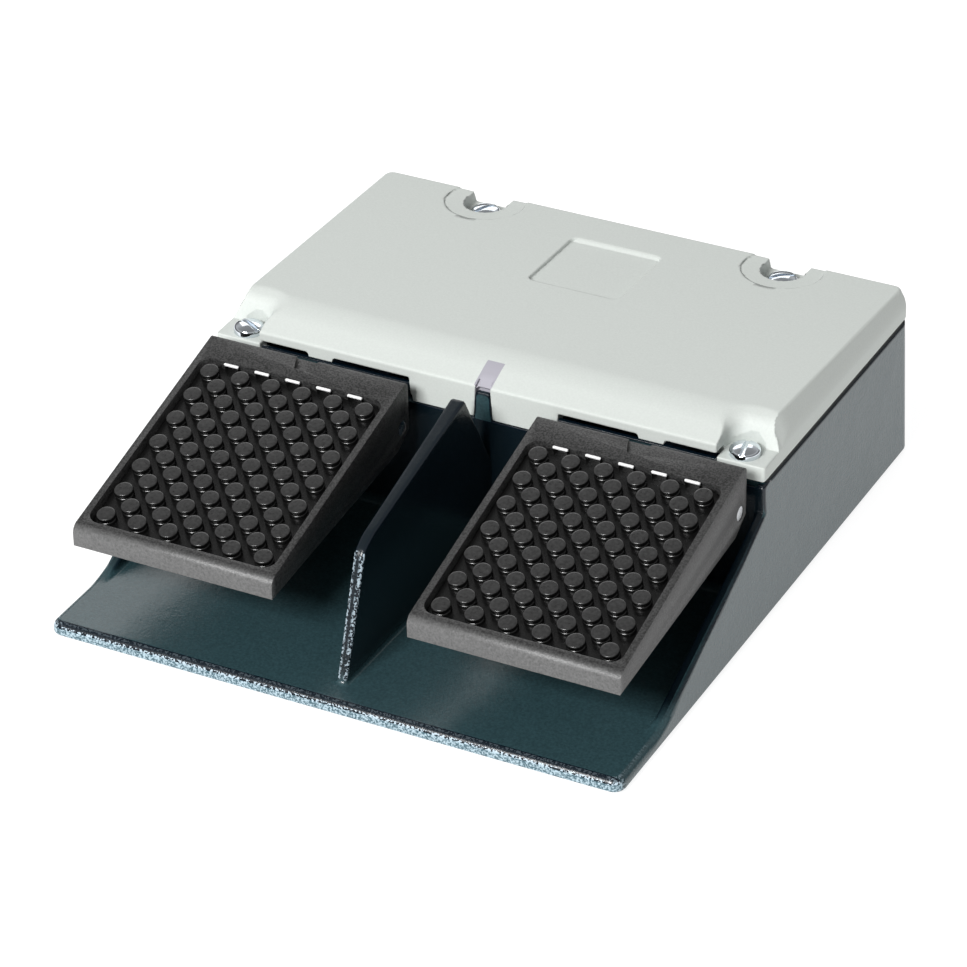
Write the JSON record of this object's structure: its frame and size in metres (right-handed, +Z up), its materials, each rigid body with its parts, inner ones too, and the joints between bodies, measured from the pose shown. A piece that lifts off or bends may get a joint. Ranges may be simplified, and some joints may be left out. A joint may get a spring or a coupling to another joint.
{
  "type": "double foot switch",
  "caption": "Heavy-duty double foot switch: cast base with a divider, screwed rear cover, and two studded pedals that press plungers into a switch compartment.",
  "frame": {"origin": "on the floor, below the middle of the whole part, gland included", "axes": "+X to the operator's right, +Y from the pedals' front lips to the rear wall, +Z up"},
  "size_m": [0.24, 0.2924, 0.0781],
  "materials": {
    "dark_powder_coat": "glossy textured powder coat",
    "light_grey_cover": "satin, fine grain",
    "black_rubber": "matt",
    "zinc_steel": "bright zinc",
    "black_pedal_plastic": "fine grain",
    "stud_rubber": "satin",
    "bright_steel": "ground",
    "bush_plastic": "satin",
    "spring_steel": "drawn wire",
    "bearing_bronze": "turned",
    "switch_plastic": "moulded",
    "actuator_plastic": "moulded",
    "brass_plated": "plated",
    "nickel_brass": "nickel plated"
  },
  "bodies": {
    "housing": {"base_housing": "dark_powder_coat", "cover": "light_grey_cover", "cover_gasket": "black_rubber", "front_cover_screws": "zinc_steel", "rear_cover_screws": "zinc_steel", "rubber_feet": "black_rubber", "hinge_bushes": "bush_plastic", "return_spring_left": "spring_steel", "return_spring_right": "spring_steel", "plunger_guides": "bearing_bronze", "plunger_seals": "black_rubber", "stop_bumpers": "black_rubber", "switch_body_left": "switch_plastic", "switch_body_right": "switch_plastic", "switch_screws": "zinc_steel", "terminal_screws": "brass_plated", "earth_screw": "zinc_steel", "earth_clamp": "brass_plated", "gland_body": "nickel_brass", "gland_locknut": "nickel_brass", "gland_seal": "black_rubber", "gland_cap": "nickel_brass"},
    "left_pedal": {"pedal_left": "black_pedal_plastic", "stud_mat_left": "stud_rubber", "hinge_pin_left": "bright_steel"},
    "left_plunger": {"plunger_left": "bright_steel", "switch_actuator_left": "actuator_plastic"},
    "right_pedal": {"pedal_right": "black_pedal_plastic", "stud_mat_right": "stud_rubber", "hinge_pin_right": "bright_steel"},
    "right_plunger": {"plunger_right": "bright_steel", "switch_actuator_right": "actuator_plastic"}
  },
  "joints": [
    {"name": "left_pedal_hinge", "type": "hinge", "parent": "housing", "child": "left_pedal", "pos_m": [-0.07105, -0.03125, 0.0534], "axis": [1, 0, 0], "range_deg": [0, 8], "stiffness_Nm_per_rad": 2, "springref_deg": -20.05, "deforming": ["return_spring_left"]},
    {"name": "left_plunger_slide", "type": "slide", "parent": "housing", "child": "left_plunger", "axis": [0, 1, 0], "range_m": [0, 0.0028]},
    {"name": "right_pedal_hinge", "type": "hinge", "parent": "housing", "child": "right_pedal", "pos_m": [0.07105, -0.03125, 0.0534], "axis": [1, 0, 0], "range_deg": [0, 8], "stiffness_Nm_per_rad": 2, "springref_deg": -20.05, "deforming": ["return_spring_right"]},
    {"name": "right_plunger_slide", "type": "slide", "parent": "housing", "child": "right_plunger", "axis": [0, 1, 0], "range_m": [0, 0.0028]}
  ],
  "couplings": [
    {"joint": "left_plunger_slide", "follows": "left_pedal_hinge", "m_per_rad": 0.02},
    {"joint": "right_plunger_slide", "follows": "right_pedal_hinge", "m_per_rad": 0.02}
  ]
}
